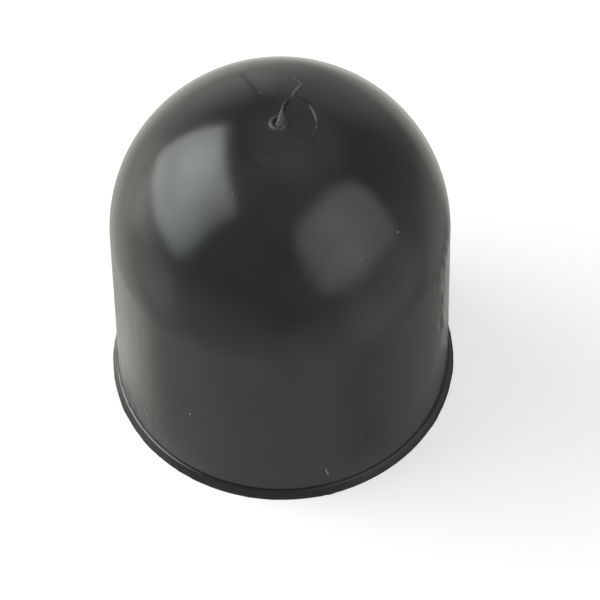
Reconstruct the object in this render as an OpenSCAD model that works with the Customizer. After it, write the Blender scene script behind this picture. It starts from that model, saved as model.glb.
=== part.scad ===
// Tow ball cover: a one-piece moulded cap for a tow ball.
// The mouth's rim lies on Z = 0, the cap's axis is Z, and the dome points up.

/* [Ball space] */
// Diameter of the tow ball, and of the straight bore that grips it
ball_d = 50; // [45:0.5:60]
// Bevel round the mouth that guides the ball in
lead_in = 0.8; // [0.3:0.1:1.2]

/* [Shell] */
// Wall thickness of the dome
wall = 2.5; // [2:0.1:4]
// Height from the rim to the middle of the dome
skirt_h = 37; // [28:0.5:50]
// Draft of the skirt's outside, so that it widens towards the mouth
draft_deg = 0.4; // [0.1:0.1:1.5]

/* [Flange] */
// How far the lip's foot stands out from the skirt
lip_out = 1; // [0.8:0.05:3]
// Thickness of the lip
lip_t = 1.6; // [1:0.05:3]
// Width of the ledge on top of the lip, before its sloping face
lip_ledge = 0.25; // [0.25:0.05:0.6]
// Radius in the corner between skirt and ledge
lip_fillet = 0.05; // [0.02:0.01:0.05]
// Radius on the ledge's outer edge
lip_round = 0.25; // [0.05:0.01:0.25]
// Bevel on the lip's foot
lip_bevel = 0.1; // [0.05:0.01:0.2]

/* [Gate mark] */
// Radius of the round witness line about the pole
ring_r = 6.1; // [4:0.1:9]
// Width of the witness line
ring_w = 0.3; // [0.2:0.05:0.6]
// Depth of the witness line
ring_depth = 0.12; // [0.08:0.01:0.2]
// How far the disc inside the line is sunk at its rim
disc_sink = 0.07; // [0.02:0.01:0.08]
// How many times flatter the disc is than the dome
disc_flat = 1.4; // [1.1:0.05:1.8]
// Outer radius of the raised collar about the gate
collar_r = 1.5; // [1:0.05:2.5]
// Thickness of the collar, which is round in section
collar_t = 0.6; // [0.4:0.05:0.8]
// Radius of the gate's torn nub where it leaves the dome
nub_r = 0.8; // [0.5:0.05:0.9]
// How far the nub stands off the collar's middle
nub_off = 0.35; // [0:0.05:0.5]
// Length of the nub
nub_h = 2.4; // [1:0.1:3]
// Lean of the nub
nub_lean = 32; // [0:1:40]

/* [Hidden] */
$fn = 128;

bore_r = ball_d / 2;
dome_r = bore_r + wall;
// the skirt's cone touches the dome where both have the same slope
touch_z = skirt_h + dome_r * sin(draft_deg);
touch_r = dome_r * cos(draft_deg);
// radius of the skirt's outside at height z, up to the touching circle
function skirt_r(z) = touch_r + (touch_z - z) * tan(draft_deg);
lip_r = skirt_r(lip_t) + lip_out;
// the sloping face runs from the ledge's edge to the top of the foot's bevel
ledge_r = skirt_r(lip_t) + lip_ledge;
slope = atan2(lip_t - lip_bevel, lip_r - ledge_r);
round_cut = lip_round * tan(slope / 2);
// height of the dome's surface at distance r from the axis
function dome_z(r) = skirt_h + sqrt(dome_r * dome_r - r * r);
// a flatter sphere gives the sunk disc, which meets the witness line's floor
disc_r = ring_r - ring_w / 2;
disc_curve = dome_r * disc_flat;
disc_z = dome_z(disc_r) - disc_sink - sqrt(disc_curve * disc_curve - disc_r * disc_r);
pole_z = disc_z + disc_curve;

// half of the outside section: dome, skirt and lip
module outside_section() {
    // dome, down to the circle where the skirt touches it
    intersection() {
        translate([0, skirt_h]) circle(r = dome_r);
        translate([0, touch_z]) square([dome_r + 1, dome_r + 1]);
    }
    // skirt, with its draft
    polygon([[0, lip_t], [skirt_r(lip_t), lip_t], [touch_r, touch_z], [0, touch_z]]);
    // lip: ledge, sloping face and a bevel at its foot
    polygon([
        [0, 0],
        [lip_r - lip_bevel, 0],
        [lip_r, lip_bevel],
        [ledge_r + round_cut * cos(slope), lip_t - round_cut * sin(slope)],
        [ledge_r - round_cut, lip_t],
        [0, lip_t]
    ]);
    // round on the ledge's outer edge
    translate([ledge_r - round_cut, lip_t - lip_round]) circle(r = lip_round, $fn = 48);
    // fillet between skirt and lip
    difference() {
        translate([skirt_r(lip_t) - 0.2, lip_t]) square([lip_fillet + 0.2, lip_fillet]);
        translate([skirt_r(lip_t) + lip_fillet, lip_t + lip_fillet]) circle(r = lip_fillet, $fn = 48);
    }
}

// the space for the ball: a straight bore with a round end
module ball_space() {
    translate([0, 0, -1]) cylinder(r = bore_r, h = skirt_h + 1);
    translate([0, 0, skirt_h]) sphere(r = bore_r);
    translate([0, 0, -1]) cylinder(r1 = bore_r + lead_in + 1, r2 = bore_r, h = lead_in + 1);
}

// what the witness line and the sunk disc take away from the dome's top
module gate_sinking() {
    // the disc: all that lies above the flatter sphere, inside the line
    difference() {
        translate([0, 0, dome_z(ring_r) - 2]) cylinder(r = disc_r, h = dome_r);
        translate([0, 0, disc_z]) sphere(r = disc_curve);
    }
    // the line: a steep outer flank and a shallow inner one
    rotate_extrude()
        polygon([
            [disc_r - 0.02, dome_z(disc_r) + 1],
            [disc_r - 0.02, dome_z(disc_r) - disc_sink - 0.01],
            [ring_r + ring_w / 2 - 0.06, dome_z(ring_r + ring_w / 2) - ring_depth],
            [ring_r + ring_w / 2, dome_z(ring_r + ring_w / 2)],
            [ring_r + ring_w / 2, dome_z(disc_r) + 1]
        ]);
}

// the gate: a raised collar with the torn nub leaning out of it
module gate_nub() {
    translate([0, 0, pole_z])
        rotate_extrude()
            translate([collar_r - collar_t / 2, 0]) circle(d = collar_t, $fn = 48);
    translate([nub_off, 0, pole_z - 0.3])
        rotate([-nub_lean, 0, 0]) {
            cylinder(r1 = nub_r, r2 = nub_r * 0.3, h = nub_h + 0.3);
            translate([0, 0, nub_h + 0.3]) sphere(r = nub_r * 0.3, $fn = 32);
        }
}

module cover() {
    color([0.09, 0.09, 0.09]) {
        difference() {
            rotate_extrude() outside_section();
            ball_space();
            gate_sinking();
        }
        gate_nub();
    }
}

cover();
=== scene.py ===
import bpy
import math
import numpy as np
from mathutils import Matrix, Vector


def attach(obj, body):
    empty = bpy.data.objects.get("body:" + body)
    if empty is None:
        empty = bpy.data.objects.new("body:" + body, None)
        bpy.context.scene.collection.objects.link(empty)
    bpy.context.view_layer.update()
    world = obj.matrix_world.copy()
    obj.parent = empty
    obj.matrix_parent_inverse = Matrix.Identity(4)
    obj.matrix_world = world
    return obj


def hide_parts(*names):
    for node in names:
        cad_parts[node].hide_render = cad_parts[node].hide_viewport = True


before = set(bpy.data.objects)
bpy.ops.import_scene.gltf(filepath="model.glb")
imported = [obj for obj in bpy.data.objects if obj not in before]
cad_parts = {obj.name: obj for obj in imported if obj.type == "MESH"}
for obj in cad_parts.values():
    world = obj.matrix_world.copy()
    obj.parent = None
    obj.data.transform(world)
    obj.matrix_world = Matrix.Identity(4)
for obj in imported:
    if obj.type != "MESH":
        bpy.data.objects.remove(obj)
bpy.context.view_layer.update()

MM = 0.001


# ---------------------------------------------------------------- helpers
def nodes_of(mat):
    mat.use_nodes = True
    nt = mat.node_tree
    nt.nodes.clear()
    return nt, nt.nodes, nt.links


def add(ns, kind, x=0, y=0, **settings):
    n = ns.new(kind)
    n.location = (x, y)
    for k, v in settings.items():
        setattr(n, k, v)
    return n


def mesh_object(name, verts, faces):
    me = bpy.data.meshes.new(name)
    me.from_pydata([tuple(map(float, v)) for v in verts], [], [tuple(map(int, f)) for f in faces])
    me.update()
    ob = bpy.data.objects.new(name, me)
    bpy.context.scene.collection.objects.link(ob)
    return ob


# ---------------------------------------------------------------- camera
F_PX = 4100.0
ELEV = math.radians(54.7782)
ROLL = math.radians(-1.0195)
T = Vector((-3.174, 9.505, 665.02))
fwd = Vector((0, math.cos(ELEV), -math.sin(ELEV)))
right = Vector((1, 0, 0))
up = Vector((0, math.sin(ELEV), math.cos(ELEV)))
r2 = math.cos(ROLL) * right + math.sin(ROLL) * up
u2 = -math.sin(ROLL) * right + math.cos(ROLL) * up
eye = Vector((0, 0, 33.0)) - (T.x * r2 + T.y * u2 + T.z * fwd)
cam_data = bpy.data.cameras.new("camera")
cam_data.sensor_fit = "HORIZONTAL"
cam_data.sensor_width = 36.0
cam_data.lens = F_PX / 600 * 36.0
cam_data.clip_start = 0.01
cam_data.clip_end = 50
cam = bpy.data.objects.new("camera", cam_data)
bpy.context.scene.collection.objects.link(cam)
m = Matrix((r2, u2, -fwd)).transposed().to_4x4()
m.translation = eye * MM
cam.matrix_world = m
bpy.context.scene.camera = cam


# ---------------------------------------------------------------- stage
def only(ob, *kinds):
    """Shows a stage piece to these kinds of ray alone."""
    for kind in ("camera", "diffuse", "glossy", "transmission", "volume_scatter", "shadow"):
        setattr(ob, "visible_" + kind, kind in kinds)


def smooth(ns, ln, value, lo, hi, to_lo, to_hi):
    n = ns.new("ShaderNodeMapRange")
    n.interpolation_type = "SMOOTHSTEP"
    n.inputs["From Min"].default_value = lo
    n.inputs["From Max"].default_value = hi
    n.inputs["To Min"].default_value = to_lo
    n.inputs["To Max"].default_value = to_hi
    ln.new(value, n.inputs["Value"])
    return n.outputs["Result"]


def math_node(ns, ln, op, a, b=None):
    n = ns.new("ShaderNodeMath")
    n.operation = op
    for i, v in enumerate((a, b)):
        if v is None:
            continue
        if isinstance(v, (int, float)):
            n.inputs[i].default_value = v
        else:
            ln.new(v, n.inputs[i])
    return n.outputs[0]


def product(ns, ln, values):
    t = values[0]
    for v in values[1:]:
        t = math_node(ns, ln, "MULTIPLY", t, v)
    return t


def dot(ns, ln, vec, d):
    n = ns.new("ShaderNodeVectorMath")
    n.operation = "DOT_PRODUCT"
    ln.new(vec, n.inputs[0])
    n.inputs[1].default_value = d
    return n.outputs["Value"]


def coloured_sum(ns, ln, parts):
    """The sum of (value, colour) pairs as one colour."""
    total = None
    for k, (value, colour) in enumerate(parts):
        n = ns.new("ShaderNodeVectorMath")
        n.operation = "SCALE"
        n.inputs[0].default_value = colour
        n.label = "part%d" % k
        ln.new(value, n.inputs["Scale"])
        if total is None:
            total = n.outputs[0]
            continue
        a = ns.new("ShaderNodeVectorMath")
        a.operation = "ADD"
        ln.new(total, a.inputs[0])
        ln.new(n.outputs[0], a.inputs[1])
        total = a.outputs[0]
    return total


def direction(az, el):
    """Azimuth 0 is behind the cover and 90 is on its right."""
    a, e = math.radians(az), math.radians(el)
    return (math.sin(a) * math.cos(e), math.cos(a) * math.cos(e), math.sin(e))


def seen_floor():
    ob = mesh_object("floor", [(-4, -4, 0), (4, -4, 0), (4, 4, 0), (-4, 4, 0)], [(0, 1, 2, 3)])
    only(ob, "camera", "diffuse")
    mat = bpy.data.materials.new("pale_floor")
    nt, ns, ln = nodes_of(mat)
    out = add(ns, "ShaderNodeOutputMaterial", 800)
    geo = add(ns, "ShaderNodeNewGeometry", -800)
    far = ns.new("ShaderNodeVectorMath")
    far.operation = "LENGTH"
    ln.new(geo.outputs["Position"], far.inputs[0])
    dif = add(ns, "ShaderNodeBsdfDiffuse", 200)
    ln.new(smooth(ns, ln, far.outputs["Value"], 0.13, 0.40, 0.60, 0.0), dif.inputs["Color"])
    em = add(ns, "ShaderNodeEmission", 200, -200)
    em.inputs["Color"].default_value = (1, 1, 0.99, 1)
    ln.new(smooth(ns, ln, far.outputs["Value"], 0.10, 0.42, 0.49, 0.92), em.inputs["Strength"])
    sh = add(ns, "ShaderNodeAddShader", 500)
    ln.new(dif.outputs[0], sh.inputs[0])
    ln.new(em.outputs[0], sh.inputs[1])
    ln.new(sh.outputs[0], out.inputs[0])
    ob.data.materials.append(mat)


def backdrop():
    """A pale wall all round, far off, that only the camera sees."""
    n = 96
    verts = [(3.9 * math.cos(2 * math.pi * i / n), 3.9 * math.sin(2 * math.pi * i / n), z) for z in (-0.5, 4.0) for i in range(n)]
    ob = mesh_object("backdrop", verts, [(i, (i + 1) % n, n + (i + 1) % n, n + i) for i in range(n)])
    only(ob, "camera")
    mat = bpy.data.materials.new("backdrop")
    nt, ns, ln = nodes_of(mat)
    out = add(ns, "ShaderNodeOutputMaterial", 600)
    em = add(ns, "ShaderNodeEmission", 300)
    em.inputs["Color"].default_value = (1, 1, 0.99, 1)
    em.inputs["Strength"].default_value = 0.92
    ln.new(em.outputs[0], out.inputs[0])
    ob.data.materials.append(mat)


def shade(foot, width):
    """The shaded strip of table round the cover's foot, which only mirror-like rays see."""
    n = 96
    ring = [((foot + k * width) * MM * math.cos(2 * math.pi * i / n), (foot + k * width) * MM * math.sin(2 * math.pi * i / n), -0.00002)
            for k in (0, 1) for i in range(n)]
    ob = mesh_object("foot_shade", ring, [(i, n + i, n + (i + 1) % n, (i + 1) % n) for i in range(n)])
    only(ob, "glossy")
    mat = bpy.data.materials.new("foot_shade")
    nt, ns, ln = nodes_of(mat)
    out = add(ns, "ShaderNodeOutputMaterial", 900)
    geo = add(ns, "ShaderNodeNewGeometry", -900)
    way = ns.new("ShaderNodeVectorMath")
    way.operation = "NORMALIZE"
    ln.new(geo.outputs["Position"], way.inputs[0])
    far = ns.new("ShaderNodeVectorMath")
    far.operation = "LENGTH"
    ln.new(geo.outputs["Position"], far.inputs[0])
    parts = [(smooth(ns, ln, dot(ns, ln, way.outputs[0], d), lo, hi, 0.0, 1.0), colour) for d, lo, hi, colour in SHADE]
    em = add(ns, "ShaderNodeEmission", 500)
    ln.new(coloured_sum(ns, ln, parts), em.inputs["Color"])
    clear = add(ns, "ShaderNodeBsdfTransparent", 500, -200)
    fade = add(ns, "ShaderNodeMixShader", 700)
    out_way = smooth(ns, ln, far.outputs["Value"], foot * MM, (foot + width) * MM, 0.0, 1.0)
    behind = smooth(ns, ln, dot(ns, ln, way.outputs[0], (-0.5, 0.87, 0)), 0.1, 0.6, 0.0, 1.0)
    ln.new(math_node(ns, ln, "MAXIMUM", out_way, behind), fade.inputs[0])
    ln.new(em.outputs[0], fade.inputs[1])
    ln.new(clear.outputs[0], fade.inputs[2])
    ln.new(fade.outputs[0], out.inputs[0])
    ob.data.materials.append(mat)


def foot_glow(centre, radius, strength):
    """A soft, brighter patch of table beside the cover's foot, which only mirror-like rays see."""
    n = 48
    at = Vector((centre[0], centre[1], -0.04)) * MM
    verts = [at + radius * MM * Vector((math.cos(2 * math.pi * i / n), math.sin(2 * math.pi * i / n), 0)) for i in range(n)]
    ob = mesh_object("foot_glow", verts, [tuple(range(n))])
    only(ob, "glossy")
    mat = bpy.data.materials.new("foot_glow")
    nt, ns, ln = nodes_of(mat)
    out = add(ns, "ShaderNodeOutputMaterial", 900)
    geo = add(ns, "ShaderNodeNewGeometry", -900)
    rel = ns.new("ShaderNodeVectorMath")
    rel.operation = "DISTANCE"
    ln.new(geo.outputs["Position"], rel.inputs[0])
    rel.inputs[1].default_value = tuple(at)
    em = add(ns, "ShaderNodeEmission", 500)
    em.inputs["Color"].default_value = (1.0, 1.02, 0.98, 1)
    ln.new(smooth(ns, ln, rel.outputs["Value"], 0.0, radius * MM, strength, 0.0), em.inputs["Strength"])
    clear = add(ns, "ShaderNodeBsdfTransparent", 500, -200)
    both = add(ns, "ShaderNodeAddShader", 700)
    ln.new(em.outputs[0], both.inputs[0])
    ln.new(clear.outputs[0], both.inputs[1])
    ln.new(both.outputs[0], out.inputs[0])
    ob.data.materials.append(mat)


def panel(name, centre, normal, dist, outline, window, colour):
    """A flat soft light. outline gives its corners in its own plane, in mm. Each entry of window is
    (along u, along v, from, to, least): the light is least before from and full after to."""
    n = Vector(normal).normalized()
    u = Vector((0, 0, 1)).cross(n).normalized()
    v = n.cross(u)
    p0 = Vector(centre) + dist * n
    ob = mesh_object(name, [(p0 + a * u + b * v) * MM for a, b in outline], [tuple(range(len(outline)))])
    only(ob, "diffuse", "glossy")
    mat = bpy.data.materials.new(name)
    nt, ns, ln = nodes_of(mat)
    out = add(ns, "ShaderNodeOutputMaterial", 900)
    geo = add(ns, "ShaderNodeNewGeometry", -900)
    rel = ns.new("ShaderNodeVectorMath")
    rel.operation = "SUBTRACT"
    ln.new(geo.outputs["Position"], rel.inputs[0])
    rel.inputs[1].default_value = tuple(p0 * MM)
    pu = dot(ns, ln, rel.outputs[0], tuple(u / MM))
    pv = dot(ns, ln, rel.outputs[0], tuple(v / MM))
    win = []
    for cu, cv, lo, hi, least in window:
        d = math_node(ns, ln, "ADD", math_node(ns, ln, "MULTIPLY", pu, float(cu)), math_node(ns, ln, "MULTIPLY", pv, float(cv)))
        win.append(smooth(ns, ln, d, lo, hi, least, 1.0))
    em = add(ns, "ShaderNodeEmission", 600)
    ln.new(coloured_sum(ns, ln, [(product(ns, ln, win), colour)]), em.inputs["Color"])
    em.inputs["Strength"].default_value = 1.0
    # the room's glow shows through it, so that the two add up
    clear = add(ns, "ShaderNodeBsdfTransparent", 600, -200)
    both = add(ns, "ShaderNodeAddShader", 750)
    ln.new(em.outputs[0], both.inputs[0])
    ln.new(clear.outputs[0], both.inputs[1])
    ln.new(both.outputs[0], out.inputs[0])
    ob.data.materials.append(mat)


def make_world():
    world = bpy.data.worlds.new("studio")
    bpy.context.scene.world = world
    world.use_nodes = True
    ns, ln = world.node_tree.nodes, world.node_tree.links
    ns.clear()
    wo = add(ns, "ShaderNodeOutputWorld", 1200)
    bg = add(ns, "ShaderNodeBackground", 1000)
    vec = add(ns, "ShaderNodeTexCoord", -900).outputs["Generated"]
    parts = []
    for az, el, inner, outer, colour in GLOWS:
        d = dot(ns, ln, vec, direction(az, el))
        parts.append((smooth(ns, ln, d, math.cos(math.radians(outer)), math.cos(math.radians(inner)), 0.0, 1.0), colour))
    ln.new(coloured_sum(ns, ln, parts), bg.inputs[0])
    ln.new(bg.outputs[0], wo.inputs[0])


# soft glows of the room: azimuth, elevation, full within, gone beyond, colour
GLOWS = [
    # all round
    (180, 0, 178, 179.9, (0.26, 0.26, 0.25)),
    # the bright table and wall behind
    (-40, -20, 5, 55, (0.52, 0.52, 0.48)),
    (25, -30, 5, 22, (0.50, 0.51, 0.47)),
    (60, -30, 5, 22, (0.25, 0.26, 0.23)),
    (10, -45, 5, 22, (0.25, 0.25, 0.22)),
    (-10, -30, 5, 22, (0.22, 0.22, 0.20)),
    (-55, -45, 5, 25, (0.15, 0.15, 0.11)),
    (15, 10, 5, 35, (0.34, 0.33, 0.32)),
    (-15, 10, 5, 22, (0.26, 0.25, 0.25)),
    (40, -8, 5, 22, (0.08, 0.07, 0.06)),
    # on the left, below and beside the large light
    (-75, 0, 5, 22, (0.74, 0.81, 0.74)),
    (-60, -10, 5, 22, (0.47, 0.50, 0.45)),
    (-85, -20, 5, 35, (0.28, 0.29, 0.26)),
    (-100, -20, 5, 22, (0.31, 0.35, 0.30)),
    (-72, 35, 5, 22, (1.25, 1.45, 1.30)),
    (-55, 35, 5, 22, (0.63, 0.67, 0.67)),
    (-102, 20, 5, 22, (0.60, 0.78, 0.64)),
    # on the right
    (115, -20, 5, 35, (0.27, 0.27, 0.27)),
    (90, -10, 5, 35, (0.16, 0.16, 0.17)),
    (95, -42, 5, 25, (0.06, 0.05, 0.06)),
    (135, 10, 5, 22, (0.35, 0.35, 0.35)),
    # in front
    (-140, -45, 5, 55, (0.23, 0.25, 0.24)),
    (145, -30, 5, 35, (0.25, 0.25, 0.26)),
    (165, 10, 5, 22, (0.09, 0.11, 0.11)),
    # overhead
    (35, 65, 5, 35, (0.34, 0.33, 0.34)),
    (180, 80, 5, 35, (0.12, 0.13, 0.14)),
]
# the shaded strip: direction, where it starts and is full, colour
SHADE = [
    ((0, 0, 1), -2, -1, (0.17, 0.17, 0.17)),
    ((-1, 0, 0), 0.0, 0.9, (0.23, 0.24, 0.23)),
    ((0, -1, 0), -0.2, 1.0, (0.27, 0.27, 0.27)),
    ((1, 0, 0), 0.3, 0.9, (-0.12, -0.12, -0.12)),
]
LEFT = dict(centre=(0, 0, 50), normal=(-0.87, 0.084, 0.48), dist=400, outline=[(-330, 330), (300, 330), (300, -260), (-330, -260)],
            window=[(1, 0.12, -312, -252, 0), (-1, 0, -280, -225, 0), (0.2, -1, -258, -178, 0), (0, 1, -235, -160, 0),
                    (-1, 0, -350, 0, 0), (1, 0, -420, -60, 0.8), (0, 1, -330, 0, 0.75)],
            colour=(3.58, 3.78, 3.65))
RIGHT = dict(centre=(0, 0, 50), normal=(0.703, -0.521, 0.481), dist=400, outline=[(-330, 300), (300, 300), (300, -280), (-330, -280)],
             window=[(1, 0, -310, -185, 0), (1, 0, -220, 0, 0.72), (-1, 0, -285, -215, 0), (-1, 0, -230, 0, 0.75), (0, -1, -285, -150, 0),
                     (-1, -1, -450, -290, 0), (1, -1, -480, -330, 0), (0, 1, -265, -130, 0), (0, 1, -300, 60, 0.5)],
             colour=(1.54, 1.54, 1.55))

seen_floor()
backdrop()
shade(28.4, 4.2)
foot_glow((-39.0, -4.0), 17.0, 0.17)
panel("left_light", **LEFT)
panel("right_light", **RIGHT)
make_world()

scene = bpy.context.scene
scene.view_settings.view_transform = "Standard"
scene.view_settings.look = "None"


# ---------------------------------------------------------------- the cover's own sizes, in mm
BORE, WALL, SKIRT_H, DRAFT = 25.0, 2.5, 37.0, math.radians(0.4)
DOME = BORE + WALL
TOUCH_Z = SKIRT_H + DOME * math.sin(DRAFT)
TOUCH_R = DOME * math.cos(DRAFT)
LIP_OUT, LIP_T, LIP_LEDGE, LEAD_IN = 1.0, 1.6, 0.25, 0.8
RING_R = 6.1

# the edge of the disc round the gate isn't a true circle: angle in degrees, radius in mm
DISC_EDGE = (
    (-180, 6.10), (-160, 6.15), (-126, 6.07), (-90, 6.00), (-60, 5.95), (-30, 5.82), (-19, 5.80), (-11, 5.97), (-4, 6.08),
    (4, 6.12), (12, 6.15), (21, 6.20), (29, 6.32), (38, 6.48), (45, 6.54), (56, 6.40), (66, 6.10), (80, 5.87), (94, 5.80),
    (105, 5.82), (114, 5.93), (126, 6.02), (140, 6.10), (160, 6.10), (180, 6.10),
)


def disc_edge(angle):
    return np.interp(angle, [a for a, _ in DISC_EDGE], [r for _, r in DISC_EDGE])


def skirt_r(z):
    return TOUCH_R + (TOUCH_Z - z) * math.tan(DRAFT)


LIP_R = skirt_r(LIP_T) + LIP_OUT


def seen_at(x, y, lift=0.0):
    """The point of the outside, or of a shell lift mm above it, seen at a pixel of the 600 x 600 frame."""
    d = (F_PX * fwd + (x - 300) * r2 - (y - 300) * u2).normalized()
    e = eye
    c = Vector((0, 0, SKIRT_H))
    rad = DOME + lift
    oc = e - c
    b = oc.dot(d)
    disc = b * b - (oc.dot(oc) - rad * rad)
    if disc > 0:
        p = e + (-b - math.sqrt(disc)) * d
        if p.z >= TOUCH_Z:
            return np.array(p)
    z = 20.0
    a2 = d.x * d.x + d.y * d.y
    b2 = e.x * d.x + e.y * d.y
    p = e
    for _ in range(8):
        rad = skirt_r(z) + lift
        disc = max(b2 * b2 - a2 * (e.x * e.x + e.y * e.y - rad * rad), 0.0)
        p = e + ((-b2 - math.sqrt(disc)) / a2) * d
        z = p.z
    return np.array(p)


# ---------------------------------------------------------------- section
def dense_section():
    """The section from the pole over the outside, round the lip and up the bore to the inner pole.
    Gives arrays of distance along it, radius, height and normal, and the places where its pieces meet."""
    r, z, nr, nz, marks = [], [], [], [], {}

    def arc(name, cr, cz, rad, a0, a1, step, sign):
        n = max(12, int(abs(a1 - a0) * rad / step))
        for a in np.linspace(a0, a1, n):
            r.append(cr + rad * math.cos(a))
            z.append(cz + rad * math.sin(a))
            nr.append(sign * math.cos(a))
            nz.append(sign * math.sin(a))
        marks[name] = len(r) - 1

    def line(name, p, q, step=0.2):
        n = max(3, int(math.dist(p, q) / step))
        t = np.array(q) - np.array(p)
        t = t / np.linalg.norm(t)
        for k in np.linspace(0, 1, n):
            r.append(p[0] + (q[0] - p[0]) * k)
            z.append(p[1] + (q[1] - p[1]) * k)
            nr.append(-t[1])
            nz.append(t[0])
        marks[name] = len(r) - 1

    def corners(pts):
        """Straight pieces with a round at each corner; pts holds radius, height and corner radius."""
        start = np.array(pts[0][:2])
        for i in range(1, len(pts)):
            p = np.array(pts[i][:2])
            if i == len(pts) - 1:
                line("line%d" % i, start, p)
                break
            q = np.array(pts[i + 1][:2])
            a = np.array(pts[i - 1][:2])
            t1 = (p - a) / np.linalg.norm(p - a)
            t2 = (q - p) / np.linalg.norm(q - p)
            turn = t1[0] * t2[1] - t1[1] * t2[0]
            half = math.acos(max(-1, min(1, float(t1 @ t2)))) / 2
            rad = pts[i][2]
            cut = rad * math.tan(half)
            s1, s2 = p - cut * t1, p + cut * t2
            line("line%d" % i, start, s1)
            side = 1.0 if turn > 0 else -1.0
            centre = s1 + rad * side * np.array((-t1[1], t1[0]))
            a0 = math.atan2(*(s1 - centre)[::-1])
            a1 = math.atan2(*(s2 - centre)[::-1])
            while a1 - a0 > math.pi:
                a1 -= 2 * math.pi
            while a1 - a0 < -math.pi:
                a1 += 2 * math.pi
            arc("round%d" % i, centre[0], centre[1], rad, a0, a1, 0.02, -side)
            start = s2

    arc("dome", 0, SKIRT_H, DOME, math.pi / 2, DRAFT, 0.1, 1)
    corners([
        (TOUCH_R, TOUCH_Z, 0),
        (skirt_r(LIP_T), LIP_T, 0.05),
        (skirt_r(LIP_T) + LIP_LEDGE, LIP_T, 0.31),
        (LIP_R, 0.1, 0.07),
        (LIP_R - 0.1, 0, 0.05),
        (BORE + LEAD_IN, 0, 0.12),
        (BORE, LEAD_IN, 0.15),
        (BORE, SKIRT_H, 0),
    ])
    arc("inside", 0, SKIRT_H, BORE, 0, math.pi / 2, 0.1, -1)
    r, z, nr, nz = map(np.array, (r, z, nr, nz))
    ds = np.hypot(np.diff(r), np.diff(z))
    keep = np.concatenate([[True], ds > 1e-6])
    idx = np.cumsum(keep) - 1
    s = np.concatenate([[0], np.cumsum(ds)])[keep]
    marks = {k: float(s[idx[v]]) for k, v in marks.items()}
    return s, np.maximum(r[keep], 0), z[keep], nr[keep], nz[keep], marks


SEC_S, SEC_R, SEC_Z, SEC_NR, SEC_NZ, MARK = dense_section()


def on_section(s):
    nr = np.interp(s, SEC_S, SEC_NR)
    nz = np.interp(s, SEC_S, SEC_NZ)
    k = np.hypot(nr, nz)
    return np.interp(s, SEC_S, SEC_R), np.interp(s, SEC_S, SEC_Z), nr / k, nz / k


# ---------------------------------------------------------------- seeded noise
class Waves:
    """A sum of smooth waves in space with fixed random directions."""

    def __init__(self, seed, wavelength, spread=1.6, count=14, stretch=(1, 1, 1)):
        rng = np.random.default_rng(seed)
        d = rng.normal(size=(count, 3))
        d /= np.linalg.norm(d, axis=1)[:, None]
        lam = wavelength * spread ** rng.uniform(-1, 1, count)
        self.k = 2 * math.pi * d / lam[:, None] / np.array(stretch)
        self.ph = rng.uniform(0, 2 * math.pi, count)
        self.n = 1 / math.sqrt(count / 2)

    def __call__(self, p):
        out = np.zeros(len(p))
        for k, ph in zip(self.k, self.ph):
            out += np.sin(p @ k + ph)
        return out * self.n


def step(x, lo, hi):
    t = np.clip((x - lo) / (hi - lo), 0, 1)
    return t * t * (3 - 2 * t)


def to_path(p, path):
    """Distance from points to a path, how far along it the nearest place is (0 to 1), and the side."""
    path = np.asarray(path, float)
    seg = np.linalg.norm(np.diff(path, axis=0), axis=1)
    total = seg.sum()
    best = np.full(len(p), 1e9)
    along = np.zeros(len(p))
    side = np.zeros(len(p))
    acc = 0.0
    for a, b, length in zip(path[:-1], path[1:], seg):
        t = np.clip(((p - a) @ (b - a)) / length ** 2, 0, 1)
        q = a + t[:, None] * (b - a)
        d = np.linalg.norm(p - q, axis=1)
        hit = d < best
        best = np.where(hit, d, best)
        along = np.where(hit, (acc + t * length) / total, along)
        up_ = (a + b) / 2 - np.array((0, 0, min(SKIRT_H, (a[2] + b[2]) / 2)))
        across = np.cross(up_ / np.linalg.norm(up_), (b - a) / length)
        side = np.where(hit, (p - q) @ across, side)
        acc += length
    return best, along, side


# ---------------------------------------------------------------- marks on the surface
WIDE = Waves(11, 26.0)
MID = Waves(12, 9.0)
DRAWN = Waves(13, 2.2, 1.9, 18, (1, 1, 14))
RAGGED = Waves(14, 2.4, 2.2, 20, (1, 1, 6))
DENTS = Waves(15, 2.4, 1.6, 18)
PATCH = Waves(16, 7.0)
STREAK = Waves(17, 2.0, 1.5, 18, (1, 6, 1))
FINE = Waves(18, 1.1, 1.3, 18, (1, 7, 1))

MARK_PATH = [seen_at(*q) for q in ((239.6, 72.6), (244.2, 77.6), (248.6, 82.4), (252.0, 86.8), (254.6, 91.6), (257.0, 97.0))]
RIDGE = [seen_at(*q) for q in ((290.8, 97.6), (292.4, 95.8), (293.8, 94.0), (295.9, 91.3), (298.4, 88.8), (300.6, 86.4), (300.4, 84.4), (298.2, 82.4), (296.2, 80.4), (294.2, 78.4), (291.8, 76.4))]
SCRATCH = [seen_at(*q) for q in ((325.8, 468.5), (326.6, 471.5), (328.2, 474.8))]
DASH_A = [seen_at(*q) for q in ((308.4, 262.8), (308.3, 268.2))]
DASH_B = [seen_at(*q) for q in ((192.3, 246.0), (192.5, 250.6))]
DASH_C = [seen_at(*q) for q in ((325.4, 201.4), (329.4, 199.6))]
TICK = [seen_at(*q) for q in ((446.3, 320.5), (446.9, 325.5), (446.2, 330.0))]

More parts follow.
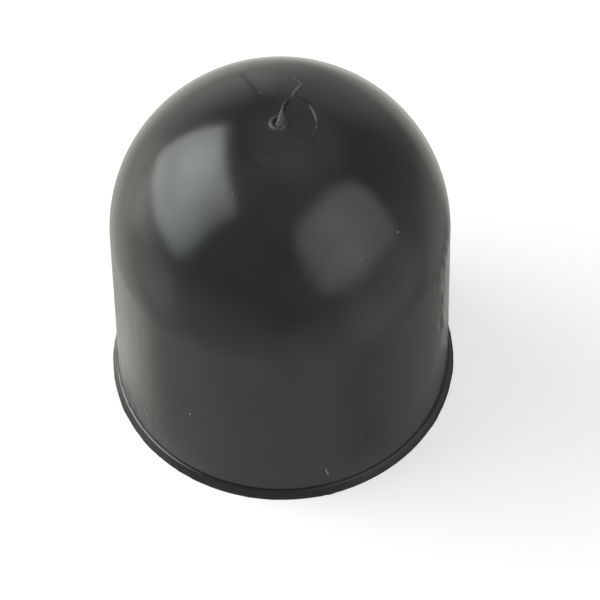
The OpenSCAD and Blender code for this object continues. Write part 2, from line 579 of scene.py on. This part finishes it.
# pixel, radius in mm, height in mm, paleness
SPECKS = [
    ((398.0, 232.0), 0.20, 0.06, 0.30), ((362.0, 259.4), 0.16, 0.05, 0.35), ((190.0, 414.0), 0.16, 0.06, 0.9),
    ((362.0, 438.0), 0.13, 0.03, 0.2), ((342.0, 481.0), 0.12, 0.03, 0.15), ((313.0, 489.0), 0.12, 0.03, 0.15),
    ((234.0, 194.0), 0.13, 0.015, 0.05), ((270.0, 198.0), 0.13, 0.01, 0.03), ((290.0, 336.0), 0.13, 0.02, 0.06),
    ((188.0, 434.0), 0.12, 0.02, 0.08), ((260.0, 94.0), 0.26, 0.05, 0.06), ((121.6, 361.6), 0.18, -0.06, -0.5),
    ((131.2, 163.0), 0.16, -0.04, -0.3), ((217.4, 171.0), 0.14, 0.01, 0.05),
]
SPECKS = [(seen_at(*q), a, b, c) for q, a, b, c in SPECKS]


def relief(s, th, p):
    """How far the surface stands off its plain section, outwards, in mm."""
    rad = np.hypot(p[:, 0], p[:, 1])
    out_side = (s < MARK["line4"]).astype(float)
    lip = step(s, MARK["round1"], MARK["round1"] + 0.25) * out_side
    d = 0.009 * WIDE(p) * out_side + 0.0016 * MID(p) * out_side * (1 - lip)
    # faint upright draw marks on the skirt
    skirt = step(TOUCH_Z + 2 - p[:, 2], 0, 10) * (1 - lip) * out_side
    d = d + 0.0035 * DRAWN(p) * skirt
    # slanting streaks in the plastic by the right edge, and shallow dents just above the lip at the left
    ang = np.degrees(np.arctan2(p[:, 1], p[:, 0]))
    near_right = np.exp(-((ang + 16) / 11) ** 2) * (1 - step(ang, -6, 8)) * step(p[:, 2], 2, 8) * (1 - step(p[:, 2], 36, 44)) * (1 - lip) * out_side
    arc = DOME * np.radians(ang)
    slant = np.stack([0.93 * arc + 0.366 * p[:, 2], -0.366 * arc + 0.93 * p[:, 2], 0 * arc], 1)
    d = d + (0.064 * STREAK(slant) + 0.010 * FINE(slant)) * near_right * (0.6 + 0.4 * PATCH(p))
    left = np.exp(-((((ang + 360) % 360) - 200) / 20) ** 2) * (1 - step(p[:, 2], 3, 13)) * (1 - lip) * out_side
    d = d + 0.044 * DENTS(p) * left * (0.6 + 0.4 * PATCH(p))
    # the lip's foot is a little ragged
    edge = step(s, MARK["round2"] + 0.35, MARK["line3"]) * (1 - step(s, MARK["round3"], MARK["round4"])) * out_side
    d = d + edge * (0.030 * RAGGED(p) - 0.032)
    # witness line and the sunk, flatter disc inside it, deepest on the right and faint on the left
    top = (p[:, 2] > SKIRT_H) & (rad < 9) & (s < 20)
    if top.any():
        r_, a_ = rad[top], np.degrees(np.arctan2(p[top, 1], p[top, 0]))
        right_side = step(a_, -40, -15) * (1 - step(a_, 41, 62))
        upper = step(a_, 46, 70) * (1 - step(a_, 120, 165))
        lower_left = step(a_, -170, -150) * (1 - step(a_, -125, -108))
        lower = step(a_, -125, -108) * (1 - step(a_, -84, -62))
        ring = disc_edge(a_)
        sink = 0.012 + 0.050 * upper + 0.03 * right_side
        inside = 1 - step(r_, ring - 0.30, ring + 0.10)
        disc = -(0.19 * (1 - np.minimum(r_ / 5.9, 1) ** 2) + sink) * inside
        d[top] -= 0.021 * lower_left * step(r_, ring - 0.16, ring + 0.06) * (1 - step(r_, ring + 0.06, ring + 0.8))
        d[top] -= 0.085 * lower * step(r_, ring - 0.5, ring + 0.1) * (1 - step(r_, ring + 0.1, ring + 1.6))
        # the disc lies deepest on the right, where the step up to the dome is steep
        depth = 0.305 * step(a_, -46, -18) * (1 - step(a_, 42, 100)) * (1 - 0.16 * np.exp(-((a_ - 2) / 7) ** 2))
        width = 0.54
        floor_r = ring + 0.42 - width
        outer = np.clip(1 - (r_ - floor_r) / width, 0, 1)
        down = np.where(r_ > floor_r, 0.9 * outer + 0.1 * outer ** 2 * (3 - 2 * outer), np.clip((r_ - 2.3) / (floor_r - 2.3), 0, 1))
        d[top] += disc - depth * down
    # a long mark, a few specks and short scratches
    for path, width, depth in ((MARK_PATH, 0.50, 0.018), (SCRATCH, 0.14, -0.04), (DASH_A, 0.13, -0.008),
                               (DASH_B, 0.13, -0.008), (DASH_C, 0.12, -0.008), (TICK, 0.22, 0.06)):
        near = np.linalg.norm(p - np.mean(path, axis=0), axis=1) < 8
        near &= s < MARK["line4"]
        if near.any():
            dist, along, side = to_path(p[near], path)
            taper = step(along, 0, 0.12) * (1 - step(along, 0.85, 1.0)) if len(path) > 3 else 1.0
            w = width * (0.6 + 0.5 * along) if len(path) > 3 else width
            d[near] -= depth * np.exp(-(dist / w) ** 2) * taper
    # the thread's end has settled on the dome as a low ridge
    near = (np.linalg.norm(p - np.mean(RIDGE, axis=0), axis=1) < 4) & (s < MARK["line4"])
    if near.any():
        dist, along, side = to_path(p[near], RIDGE)
        high = np.interp(along, (0, 0.06, 0.3, 0.62, 0.75, 1), (0.02, 0.11, 0.15, 0.14, 0.07, 0.01))
        d[near] += high * np.exp(-(dist / np.interp(along, (0, 0.3, 0.6, 1), (0.20, 0.29, 0.26, 0.18))) ** 2)
    for c, rad_, h, pale in SPECKS:
        near = np.linalg.norm(p - c, axis=1) < 4 * rad_
        near &= s < MARK["line4"]
        if near.any():
            q = np.linalg.norm(p[near] - c, axis=1) / rad_
            d[near] += h * np.exp(-q ** 2)
    return d


def tone(p, s):
    """Paleness of specks and scratches, a painted highlight on the lip's upper edge, and how scuffed the surface is, at
    each point.
    """
    pale = np.zeros(len(p))
    scuff = np.zeros(len(p))
    out_side = s < MARK["line4"]
    for c, rad_, h, k in SPECKS:
        q = np.linalg.norm(p - c, axis=1) / rad_
        pale = np.where(out_side & (np.abs(k) * np.exp(-(q / 0.9) ** 4) > np.abs(pale)), k * np.exp(-(q / 0.9) ** 4), pale)
    for path, w, k in ((SCRATCH, 0.11, 0.3), (DASH_A, 0.1, 0.02), (DASH_B, 0.1, 0.02), (DASH_C, 0.1, 0.02)):
        dist, along, side = to_path(p, path)
        pale = np.maximum(pale, np.where(out_side, k * np.exp(-(dist / w) ** 4), 0))
    dist, along, side = to_path(p, RIDGE)
    ridge = np.where(out_side & (p[:, 2] > SKIRT_H), np.exp(-(dist / 0.30) ** 4) * np.interp(along, (0, 0.1, 0.6, 1), (0.3, 1, 1, 0.3)), 0)
    pale = np.maximum(pale, 0.045 * ridge)
    scuff = np.maximum(scuff, 0.3 * ridge)
    # the long mark is dull and dark, and fades at its ends
    dist, along, side = to_path(p, MARK_PATH)
    core = np.where(out_side, np.exp(-(dist / (0.46 + 0.12 * along)) ** 2) * step(along, -0.05, 0.12), 0)
    pale = np.where(core > 0.02, np.minimum(pale, -0.40 * core), pale)
    scuff = np.maximum(scuff, 0.25 * core)
    # the witness line's steep flank on the right is dull
    rad, a_ = np.hypot(p[:, 0], p[:, 1]), np.degrees(np.arctan2(p[:, 1], p[:, 0]))
    flank = np.exp(-((rad - disc_edge(a_) - 0.12) / 0.36) ** 4) * step(a_, -22, -14) * (1 - step(a_, 38, 48)) * (p[:, 2] > SKIRT_H) * out_side
    scuff = np.maximum(scuff, 0.16 * flank)
    # painted highlight: the lip's upper edge is painted a little paler at the left, where the left light's highlight
    # falls on it
    az = a_ % 360
    painted_highlight = np.exp(-((s - (MARK["line2"] + MARK["round2"]) / 2) / 0.12) ** 4) * step(az, 176, 192) * (1 - step(az, 222, 244)) * out_side
    pale = np.where(painted_highlight > 0.02, np.maximum(pale, 0.28 * painted_highlight), pale)
    return pale, scuff


def fineness(p, s):
    """The longest edge wanted at each point."""
    out_side = s < MARK["line4"]
    h = np.where(out_side, 0.8, 9.0)
    for path, near, grow in ((MARK_PATH, 0.13, 0.35), (SCRATCH, 0.06, 0.5), (DASH_A, 0.06, 0.5), (DASH_B, 0.06, 0.5),
                             (DASH_C, 0.06, 0.5), (TICK, 0.1, 0.5), (RIDGE, 0.075, 0.35)):
        dist, _, _ = to_path(p, path)
        h = np.where(out_side, np.minimum(h, near + grow * np.maximum(dist - 0.25, 0)), h)
    for c, rad_, _, _ in SPECKS:
        q = np.linalg.norm(p - c, axis=1)
        h = np.where(out_side, np.minimum(h, rad_ * 0.42 + 0.5 * np.maximum(q - 1.8 * rad_, 0)), h)
    ang = np.degrees(np.arctan2(p[:, 1], p[:, 0]))
    right_zone = (np.abs(ang + 15) < 20) & (p[:, 2] > 2.5) & (p[:, 2] < 43) & out_side
    h = np.where(right_zone, np.minimum(h, 0.34), h)
    left_zone = (np.abs(ang % 360 - 202) < 23) & (p[:, 2] < 12) & (p[:, 2] > 1.9) & out_side
    return np.where(left_zone, np.minimum(h, 0.32), h)


# ---------------------------------------------------------------- the visual mesh
GATE_R = 2.2
GATE_X = 0.13


def ring_plan():
    """Distance along the section and number of points of each ring, from the gate's border to the inner pole."""
    plan = []
    s = DOME * math.asin(GATE_R / DOME)
    end = MARK["dome"]
    while s < end - 0.3:
        rad = DOME * math.sin(s / DOME)
        plan.append((s, 96 if rad < 3.5 else 192 if rad < 20 else 384))
        if rad < 3.5:
            s += 0.26
        elif rad < 5.35 or 6.95 < rad < 7.4:
            s += 0.2
        elif rad <= 6.95:
            s += 0.06
        else:
            s += 0.6
    for a, b, n, count in (
            ("dome", "line1", 48, 384), ("line1", "round1", 4, 384), ("round1", "line2", 2, 384), ("line2", "round2", 6, 384),
            ("round2", "line3", 7, 384), ("line3", "round3", 2, 384), ("round3", "line4", 2, 384), ("line4", "round4", 2, 384)):
        t = np.linspace(0, 1, n + 1)[:-1]
        if (a, b) == ("dome", "line1"):
            t = 1 - (1 - t) ** 1.15
        plan += [(MARK[a] + (MARK[b] - MARK[a]) * k, count) for k in t]
    for a, b, n in (("round4", "line5", 5), ("line5", "round5", 3), ("round5", "line6", 4), ("line6", "round6", 3), ("round6", "line7", 14)):
        t = np.linspace(0, 1, n + 1)[:-1]
        for i, k in enumerate(t):
            plan.append((MARK[a] + (MARK[b] - MARK[a]) * k, 384 if (a == "round4" and i < 3) else 192))
    t = np.linspace(0, 1, 25)[:-1]
    for k in t:
        rad = BORE * math.cos(k * math.pi / 2)
        plan.append((MARK["line7"] + (MARK["inside"] - MARK["line7"]) * k, 192 if rad > 12 else 96 if rad > 5.5 else 48 if rad > 2.6 else 24))
    return plan


def band(a0, na, b0, nb):
    """Triangles between a ring and the next one along the section."""
    if na == nb:
        j = np.arange(na)
        k = (j + 1) % na
        return np.concatenate([np.stack([a0 + j, b0 + j, b0 + k], 1), np.stack([a0 + j, b0 + k, a0 + k], 1)])
    if nb == 2 * na:
        i = np.arange(na)
        k = (i + 1) % na
        f0, f1, f2 = b0 + 2 * i, b0 + 2 * i + 1, b0 + (2 * i + 2) % nb
        return np.concatenate([np.stack([a0 + i, f0, f1], 1), np.stack([a0 + i, f1, a0 + k], 1), np.stack([a0 + k, f1, f2], 1)])
    i = np.arange(nb)
    k = (i + 1) % nb
    f0, f1, f2 = a0 + 2 * i, a0 + 2 * i + 1, a0 + (2 * i + 2) % na
    return np.concatenate([np.stack([f0, b0 + i, f1], 1), np.stack([f1, b0 + i, b0 + k], 1), np.stack([f1, b0 + k, f2], 1)])


def plain_points(s, th):
    r, z, nr, nz = on_section(s)
    c, sn = np.cos(th), np.sin(th)
    return np.stack([r * c, r * sn, z], 1), np.stack([nr * c, nr * sn, nz], 1), np.stack([nz * c, nz * sn, -nr], 1), \
        np.stack([-sn, c, np.zeros_like(c)], 1), r


def refine(s, th, faces, border):
    """Halves every edge that is longer than the marks near it need."""
    for _ in range(6):
        p = plain_points(s, th)[0]
        e = np.concatenate([faces[:, [0, 1]], faces[:, [1, 2]], faces[:, [2, 0]]])
        e.sort(axis=1)
        keys, inv = np.unique(e[:, 0].astype(np.int64) * len(s) + e[:, 1], return_inverse=True)
        a, b = keys // len(s), keys % len(s)
        length = np.linalg.norm(p[a] - p[b], axis=1)
        dth = (th[b] - th[a] + math.pi) % (2 * math.pi) - math.pi
        ms, mth = (s[a] + s[b]) / 2, th[a] + dth / 2
        mp = plain_points(ms, mth)[0]
        split = length > 1.35 * fineness(mp, ms)
        split &= ~((a < border) & (b < border))
        if not split.any():
            break
        new = np.full(len(keys), -1)
        new[split] = len(s) + np.arange(split.sum())
        s = np.concatenate([s, ms[split]])
        th = np.concatenate([th, mth[split]])
        m = new[inv].reshape(3, -1).T
        out = [faces[(m < 0).all(1)]]
        for turn in range(3):
            f = np.roll(faces, -turn, axis=1)
            q = np.roll(m, -turn, axis=1)
            k = (q[:, 0] >= 0) & (q[:, 1] < 0) & (q[:, 2] < 0)
            out += [np.stack([f[k, 0], q[k, 0], f[k, 2]], 1), np.stack([q[k, 0], f[k, 1], f[k, 2]], 1)]
            k = (q[:, 0] >= 0) & (q[:, 1] >= 0) & (q[:, 2] < 0)
            out += [np.stack([q[k, 0], f[k, 1], q[k, 1]], 1), np.stack([f[k, 0], q[k, 0], q[k, 1]], 1), np.stack([f[k, 0], q[k, 1], f[k, 2]], 1)]
        k = (m >= 0).all(1)
        f, q = faces[k], m[k]
        out += [np.stack([f[:, 0], q[:, 0], q[:, 2]], 1), np.stack([q[:, 0], f[:, 1], q[:, 1]], 1),
                np.stack([q[:, 2], q[:, 1], f[:, 2]], 1), np.stack([q[:, 0], q[:, 1], q[:, 2]], 1)]
        faces = np.concatenate(out)
    return s, th, faces


def embossed(s, th):
    """Points and normals of the surface with its marks."""
    p, n, ts, tt, r = plain_points(s, th)
    eps = 0.006
    d = relief(s, th, p)
    ds = (relief(s + eps, th, plain_points(s + eps, th)[0]) - relief(s - eps, th, plain_points(s - eps, th)[0])) / (2 * eps)
    w = eps / np.maximum(r, 0.5)
    dt = (relief(s, th + w, plain_points(s, th + w)[0]) - relief(s, th - w, plain_points(s, th - w)[0])) / (2 * w * np.maximum(r, 0.5))
    nn = n - ds[:, None] * ts - dt[:, None] * tt
    nn /= np.linalg.norm(nn, axis=1)[:, None]
    return p + d[:, None] * n, nn, p


def gate_height(x, y):
    rad = np.hypot(x, y)
    s = DOME * np.arcsin(rad / DOME)
    th = np.arctan2(y, x)
    p, n = plain_points(s, th)[:2]
    return p + relief(s, th, p)[:, None] * n


# pixel, how far the thread stands off the dome, its half thickness, until it meets the ridge
THREAD = [
    (282.8, 106.4, 0.80, 0.18), (284.6, 103.0, 0.44, 0.16), (286.6, 100.4, 0.23, 0.135), (288.8, 98.9, 0.15, 0.105),
    (290.2, 98.0, 0.12, 0.08), (291.0, 97.3, 0.10, 0.055),
]


def build_gate(first, border_points):
    """The collar, its hollow, the torn nub and the thread drawn out of it, from the border ring inwards.
    Gives points, ring starts and counts, and paleness."""
    pts, rings, pale = [], [], []
    rough = Waves(21, 0.5)

    def put(points, k):
        rings.append((first + sum(len(q) for q in pts), len(points)))
        pts.append(points)
        pale.append(np.full(len(points), k))

    def flat_ring(cx, cy, rad, h, n, k, right_h=None, jitter=0.0):
        a = 2 * math.pi * np.arange(n) / n
        x, y = cx + rad * np.cos(a), cy + rad * np.sin(a)
        p = gate_height(x, y)
        rise = h if right_h is None else h + (right_h - h) * step(np.cos(a), -0.35, 0.95)
        p[:, 2] += rise
        if jitter:
            p += jitter * rough(p)[:, None] * np.stack([np.cos(a), np.sin(a), 0.6 + 0 * a], 1)
        put(p, k)

    # a smooth foot, then the collar's round section from outside to inside
    for rad, h, x in ((2.05, 0, 0.2), (1.9, 0, 0.45), (1.74, 0.003, 0.75), (1.60, 0.010, 1), (1.50, 0.028, 1)):
        flat_ring(GATE_X * x, 0, rad, h, 96, 0.0)
    for a in (12, 28, 44, 60, 76, 92, 108, 124, 140, 156, 170):
        ar = math.radians(a)
        flat_ring(GATE_X, 0, 1.13 + 0.30 * math.cos(ar), 0.03 + 0.29 * math.sin(ar), 96, 0.05, jitter=0.010)
    flat_ring(0.18, 0.0, 0.81, 0.0, 96, 0.02, 0.16, 0.01)
    # the hollow between the collar and the nub is painted dark: painted shade
    flat_ring(0.25, 0.02, 0.79, -0.06, 96, -0.3, 0.22, 0.01)
    flat_ring(0.32, 0.04, 0.76, -0.06, 96, -0.3, 0.27, 0.01)
    # centre, height above the pole and radius up the nub, and then the thread
    pole = gate_height(np.zeros(1), np.zeros(1))[0]
    spine = [(0.40, 0.05, 0.02, 0.73), (0.43, 0.07, 0.12, 0.69), (0.46, 0.13, 0.30, 0.635), (0.50, 0.24, 0.55, 0.575), (0.54, 0.40, 0.85, 0.505),
             (0.58, 0.64, 1.08, 0.43), (0.63, 0.90, 1.31, 0.355), (0.70, 1.26, 1.40, 0.28), (0.79, 1.72, 1.32, 0.22)]
    path = [np.array((pole[0] + a, pole[1] + b, pole[2] + c)) for a, b, c, _ in spine] + [seen_at(x, y, h) for x, y, h, _ in THREAD]
    radius = [q[3] for q in spine] + [q[3] for q in THREAD]
    knots = np.concatenate([[0], np.cumsum(np.linalg.norm(np.diff(path, axis=0), axis=1))])
    fine = np.concatenate([np.arange(0, knots[8], 0.11), np.arange(knots[8], knots[-1] + 0.01, 0.13)])
    line = smooth_through(knots, np.array(path), fine)
    rad = np.interp(fine, knots, radius)
    tang = np.gradient(line, axis=0)
    tang /= np.linalg.norm(tang, axis=1)[:, None]
    e1 = np.array((1.0, 0, 0))
    for i, (c, rr, t) in enumerate(zip(line, rad, tang)):
        w = float(step(np.array(fine[i]), 0.0, 1.3))
        ax = (1 - w) * np.array((0, 0, 1.0)) + w * t
        ax /= np.linalg.norm(ax)
        e1 = e1 - (e1 @ ax) * ax
        e1 /= np.linalg.norm(e1)
        e2 = np.cross(ax, e1)
        n = 48 if fine[i] < 0.75 else 24 if fine[i] < knots[8] else 12
        a = 2 * math.pi * np.arange(n) / n
        ring = c + rr * (np.cos(a)[:, None] * e1 + np.sin(a)[:, None] * e2)
        if i < 3:
            right_h = (0.25, 0.14, 0.05)[i]
            ring[:, 2] += right_h * step(np.cos(a), -0.35, 0.95)
        amp = 0.03 * min(1.0, rr / 0.3) if i > 2 else 0.012
        ring += amp * rough(ring * (1.0 if rr > 0.22 else 1.4))[:, None] * ((ring - c) / rr)
        put(ring, float(np.interp(fine[i], (0, knots[5], knots[8], knots[-1]), (0.10, 0.085, 0.025, 0.02))))
    pts.append(line[-1:] + 0.05 * tang[-1:])
    pale.append(np.full(1, 0.02))
    return np.concatenate(pts), rings, np.concatenate(pale)


def smooth_through(knots, pts, at):
    """A smooth curve through the points, with tangents from their neighbours."""
    m = np.gradient(pts, knots, axis=0)
    i = np.clip(np.searchsorted(knots, at, side="right") - 1, 0, len(knots) - 2)
    h = (knots[i + 1] - knots[i])[:, None]
    t = ((at - knots[i])[:, None] / h)
    return ((1 + 2 * t) * (1 - t) ** 2 * pts[i] + t * (1 - t) ** 2 * h * m[i]
            + t ** 2 * (3 - 2 * t) * pts[i + 1] + t ** 2 * (t - 1) * h * m[i + 1])


def build_cover():
    plan = ring_plan()
    s = np.concatenate([np.full(n, q) for q, n in plan] + [[MARK["inside"]]])
    th = np.concatenate([2 * math.pi * np.arange(n) / n for q, n in plan] + [[0.0]])
    first = np.concatenate([[0], np.cumsum([n for _, n in plan])])
    faces = [band(first[i], plan[i][1], first[i + 1], plan[i + 1][1]) for i in range(len(plan) - 1)]
    last, n = first[len(plan) - 1], plan[-1][1]
    j = np.arange(n)
    pole = len(s) - 1
    faces.append(np.stack([last + j, np.full(n, pole), last + (j + 1) % n], 1))
    faces = np.concatenate(faces)
    border = plan[0][1]
    s, th, faces = refine(s, th, faces, border)
    pos, nor, base = embossed(s, th)
    pale, scuff = tone(base, s)
    gate, rings, gate_pale = build_gate(len(s), pos[:border])
    chain = [(len(s) + len(gate) - 1, 1)] + rings[::-1] + [(0, border)]
    more = []
    b0, nb = chain[1]
    j = np.arange(nb)
    more.append(np.stack([np.full(nb, chain[0][0]), b0 + j, b0 + (j + 1) % nb], 1))
    for (a0, na), (c0, nc) in zip(chain[1:-1], chain[2:]):
        more.append(band(a0, na, c0, nc))
    more = np.concatenate(more)
    verts = np.concatenate([pos, gate])
    all_faces = np.concatenate([faces, more])
    fn = np.cross(verts[more[:, 1]] - verts[more[:, 0]], verts[more[:, 2]] - verts[more[:, 0]])
    vn = np.zeros_like(verts)
    for k in range(3):
        np.add.at(vn, more[:, k], fn)
    gate_n = vn[len(s):]
    gate_n /= np.maximum(np.linalg.norm(gate_n, axis=1), 1e-12)[:, None]
    normals = np.concatenate([nor, gate_n])
    pale = np.concatenate([pale, gate_pale])
    scuff = np.concatenate([scuff, np.clip(0.4 + gate_pale * 5, 0, 0.85)])
    me = bpy.data.meshes.new("cover_shell")
    me.vertices.add(len(verts))
    me.vertices.foreach_set("co", (verts * MM).astype(np.float32).ravel())
    me.loops.add(len(all_faces) * 3)
    me.loops.foreach_set("vertex_index", all_faces.astype(np.int32).ravel())
    me.polygons.add(len(all_faces))
    me.polygons.foreach_set("loop_start", np.arange(0, len(all_faces) * 3, 3, dtype=np.int32))
    me.update(calc_edges=True)
    me.polygons.foreach_set("use_smooth", np.ones(len(all_faces), dtype=bool))
    for name, values in (("pale", pale), ("scuff", scuff)):
        at = me.attributes.new(name, "FLOAT", "POINT")
        at.data.foreach_set("value", values.astype(np.float32))
    me.normals_split_custom_set_from_vertices([tuple(v) for v in normals])
    me.update()
    ob = bpy.data.objects.new("cover_shell", me)
    bpy.context.scene.collection.objects.link(ob)
    return ob, verts, all_faces


# ---------------------------------------------------------------- material
def black_plastic():
    mat = bpy.data.materials.new("black_plastic")
    nt, ns, ln = nodes_of(mat)
    out = add(ns, "ShaderNodeOutputMaterial", 1200)
    b = add(ns, "ShaderNodeBsdfPrincipled", 900)
    b.inputs["IOR"].default_value = 1.5
    tc = add(ns, "ShaderNodeTexCoord", -1200)
    obj = tc.outputs["Object"]

    def noise(scale, detail=2.0, rough=0.5, vector=None, y=0):
        n = add(ns, "ShaderNodeTexNoise", -700, y)
        n.inputs["Scale"].default_value = scale
        n.inputs["Detail"].default_value = detail
        n.inputs["Roughness"].default_value = rough
        ln.new(vector or obj, n.inputs["Vector"])
        return n.outputs["Fac"]

    def attribute(name):
        n = add(ns, "ShaderNodeAttribute", -900)
        n.attribute_name = name
        return n.outputs["Fac"]

    pale, scuff = attribute("pale"), attribute("scuff")
    # upright draw marks: the same noise stretched along the axis
    mp = add(ns, "ShaderNodeMapping", -900, -600)
    mp.inputs["Scale"].default_value = (1, 1, 0.035)
    ln.new(obj, mp.inputs["Vector"])
    drawn = noise(700, 3.0, 0.6, mp.outputs[0], -600)
    cloud = noise(110, 3.0, 0.55, None, -100)
    grain = noise(5200, 2.0, 0.6, None, 200)
    # colour: near black, a little uneven, paler where the plastic is torn or nicked, and along the lip's edge at the
    # left, where a highlight is painted
    uneven = smooth(ns, ln, cloud, 0.3, 0.7, 0.0115, 0.0150)
    black = coloured_sum(ns, ln, [(uneven, (1.0, 1.03, 1.0))])
    mix = add(ns, "ShaderNodeMix", 300, 100, data_type="RGBA")
    ln.new(math_node(ns, ln, "MAXIMUM", pale, 0.0), mix.inputs["Factor"])
    ln.new(black, mix.inputs["A"])
    mix.inputs["B"].default_value = (0.50, 0.495, 0.485, 1)
    # darker where paleness is below zero: the dark marks, and the hollow round the nub's foot, where shade is painted
    dark = add(ns, "ShaderNodeMix", 500, 100, data_type="RGBA")
    ln.new(math_node(ns, ln, "MAXIMUM", math_node(ns, ln, "MULTIPLY", pale, -1.0), 0.0), dark.inputs["Factor"])
    ln.new(mix.outputs["Result"], dark.inputs["A"])
    dark.inputs["B"].default_value = (0.002, 0.002, 0.002, 1)
    ln.new(dark.outputs["Result"], b.inputs["Base Color"])
    # dark marks mirror less, and so does the painted shade in the hollow round the nub
    less = math_node(ns, ln, "MAXIMUM", math_node(ns, ln, "MULTIPLY", pale, -1.0), 0.0)
    ln.new(math_node(ns, ln, "SUBTRACT", 0.5, math_node(ns, ln, "MULTIPLY", less, 0.5)), b.inputs["Specular IOR Level"])
    # gloss: satin, slightly clouded, duller in the scuffs
    base_rough = smooth(ns, ln, cloud, 0.25, 0.75, 0.150, 0.175)
    streaks = smooth(ns, ln, drawn, 0.3, 0.7, -0.008, 0.008)
    r = math_node(ns, ln, "ADD", base_rough, streaks)
    r = math_node(ns, ln, "ADD", r, math_node(ns, ln, "MULTIPLY", scuff, 0.5))
    ln.new(r, b.inputs["Roughness"])
    # fine moulded grain and draw marks as bump
    b1 = add(ns, "ShaderNodeBump", 500, -400)
    b1.inputs["Strength"].default_value = 1.0
    b1.inputs["Distance"].default_value = 0.0000012
    ln.new(grain, b1.inputs["Height"])
    b2 = add(ns, "ShaderNodeBump", 700, -400)
    b2.inputs["Strength"].default_value = 1.0
    b2.inputs["Distance"].default_value = 0.000002
    ln.new(drawn, b2.inputs["Height"])
    ln.new(b1.outputs[0], b2.inputs["Normal"])
    ln.new(b2.outputs[0], b.inputs["Normal"])
    ln.new(b.outputs[0], out.inputs[0])
    return mat


cover, cover_verts, cover_faces = build_cover()
cover.data.materials.append(black_plastic())
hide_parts("cover")
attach(cover, "root")
